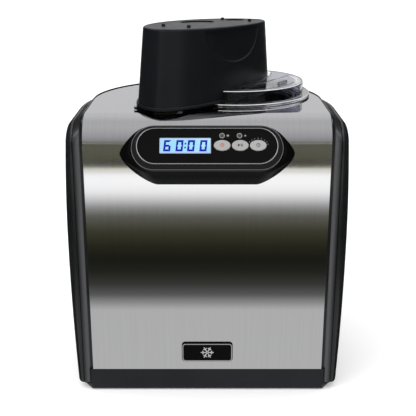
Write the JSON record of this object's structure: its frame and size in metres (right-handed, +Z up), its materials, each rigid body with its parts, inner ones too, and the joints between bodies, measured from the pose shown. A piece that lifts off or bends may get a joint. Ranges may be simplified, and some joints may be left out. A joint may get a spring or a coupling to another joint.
{
  "type": "frozen yogurt maker",
  "caption": "Upright compressor machine for frozen yogurt, with a steel wrap, black panels, a tilted control panel, and an oval motor head on a clear lid over a removable bowl.",
  "frame": {"origin": "on the table, under the middle of the machine's bounding box", "axes": "+Z up, -Y out of the front with the control panel, +X to the right seen from the front"},
  "size_m": [0.2784, 0.2562, 0.3664],
  "materials": {
    "brushed_steel": "vertically brushed",
    "casing_black": "satin, finely grained",
    "gloss_black": "polished",
    "head_black": "satin",
    "rubber_black": "matt",
    "seal_grey": "silicone",
    "ring_chrome": "dark plated",
    "clear_plastic": "clear, polished",
    "lcd_glow": "backlit display",
    "button_grey": "pearl grey",
    "lamp_white": "clear lens",
    "circuit_green": "solder mask",
    "well_aluminium": "spun",
    "copper_tube": "copper",
    "foam_cream": "rigid foam",
    "compressor_black": "enamel",
    "inner_black": "plain",
    "paddle_white": "smooth",
    "motor_steel": "zinc plated",
    "pinion_brass": "machined",
    "gear_nylon": "moulded nylon"
  },
  "bodies": {
    "root": {"base_tray": "casing_black", "foot_1": "rubber_black", "foot_2": "rubber_black", "foot_3": "rubber_black", "foot_4": "rubber_black", "steel_wrap": "brushed_steel", "side_panel_left": "casing_black", "side_panel_right": "casing_black", "rear_panel": "casing_black", "badge_plate": "gloss_black", "power_inlet": "inner_black", "control_bezel": "gloss_black", "bezel_ring": "ring_chrome", "control_fascia": "gloss_black", "lcd_module": "lcd_glow", "cooling_lamp": "lamp_white", "mixing_lamp": "lamp_white", "control_board": "circuit_green", "well_ring": "casing_black", "freezing_well": "well_aluminium", "evaporator_coil": "copper_tube", "foam_jacket": "foam_cream", "compressor": "compressor_black", "compressor_bracket": "motor_steel", "compressor_grommet_1": "rubber_black", "compressor_grommet_2": "rubber_black", "compressor_grommet_3": "rubber_black", "compressor_grommet_4": "rubber_black", "start_relay": "inner_black", "condenser": "well_aluminium", "fan_shroud": "inner_black", "fan_motor": "motor_steel", "filter_drier": "copper_tube", "refrigerant_line": "copper_tube", "power_board": "circuit_green"},
    "lid_carrier": {"lid_seal": "seal_grey"},
    "lid": {"clear_lid": "clear_plastic"},
    "flap": {"refill_flap": "clear_plastic"},
    "head": {"head_housing": "head_black", "head_base": "head_black", "drive_motor": "motor_steel", "head_bumper_1": "rubber_black", "head_bumper_2": "rubber_black", "head_bumper_3": "rubber_black", "head_bumper_4": "rubber_black"},
    "pinion": {"motor_pinion": "pinion_brass"},
    "spindle": {"output_gear": "gear_nylon", "drive_spindle": "motor_steel"},
    "paddle": {"mixing_paddle": "paddle_white"},
    "bowl": {"removable_bowl": "well_aluminium"},
    "fan": {"fan_rotor": "paddle_white"},
    "power_button": {"power_button": "button_grey"},
    "start_button": {"start_button": "button_grey"},
    "timer_button": {"timer_button": "button_grey"}
  },
  "joints": [
    {"name": "lid_lift", "type": "slide", "parent": "root", "child": "lid_carrier", "axis": [0, 0, 1], "range_m": [0, 0.2]},
    {"name": "lid_twist", "type": "hinge", "parent": "lid_carrier", "child": "lid", "pos_m": [0.029, 0.019, 0.2873], "axis": [0, 0, 1], "range_deg": [0, 30]},
    {"name": "flap_hinge", "type": "hinge", "parent": "lid", "child": "flap", "pos_m": [0.05502, -0.01133, 0.3025], "axis": [-0.5344, -0.8453, 0], "range_deg": [0, 75]},
    {"name": "head_lift", "type": "slide", "parent": "lid", "child": "head", "axis": [0, 0, 1], "range_m": [0, 0.1]},
    {"name": "paddle_spin", "type": "hinge", "parent": "lid", "child": "paddle", "pos_m": [0.029, 0.019, 0.2], "axis": [0, 0, 1], "continuous": true},
    {"name": "spindle_spin", "type": "hinge", "parent": "head", "child": "spindle", "pos_m": [0.029, 0.019, 0.297], "axis": [0, 0, 1], "continuous": true},
    {"name": "pinion_spin", "type": "hinge", "parent": "head", "child": "pinion", "pos_m": [0.0117, 0.00096, 0.297], "axis": [0, 0, 1], "continuous": true},
    {"name": "bowl_lift", "type": "slide", "parent": "root", "child": "bowl", "axis": [0, 0, 1], "range_m": [0, 0.13]},
    {"name": "fan_spin", "type": "hinge", "parent": "root", "child": "fan", "pos_m": [-0.082, -0.0275, 0.068], "axis": [1, 0, 0], "continuous": true},
    {"name": "power_press", "type": "slide", "parent": "root", "child": "power_button", "axis": [0, 0.8554, -0.518], "range_m": [0, 0.001], "stiffness_N_per_m": 400},
    {"name": "start_press", "type": "slide", "parent": "root", "child": "start_button", "axis": [0, 0.8554, -0.518], "range_m": [0, 0.001], "stiffness_N_per_m": 400},
    {"name": "timer_press", "type": "slide", "parent": "root", "child": "timer_button", "axis": [0, 0.8554, -0.518], "range_m": [0, 0.001], "stiffness_N_per_m": 400}
  ],
  "couplings": [
    {"joint": "spindle_spin", "follows": "paddle_spin", "ratio": 1},
    {"joint": "pinion_spin", "follows": "paddle_spin", "ratio": -3},
    {"joint": "bowl_lift", "follows": "lid_lift", "ratio": 0.6}
  ]
}
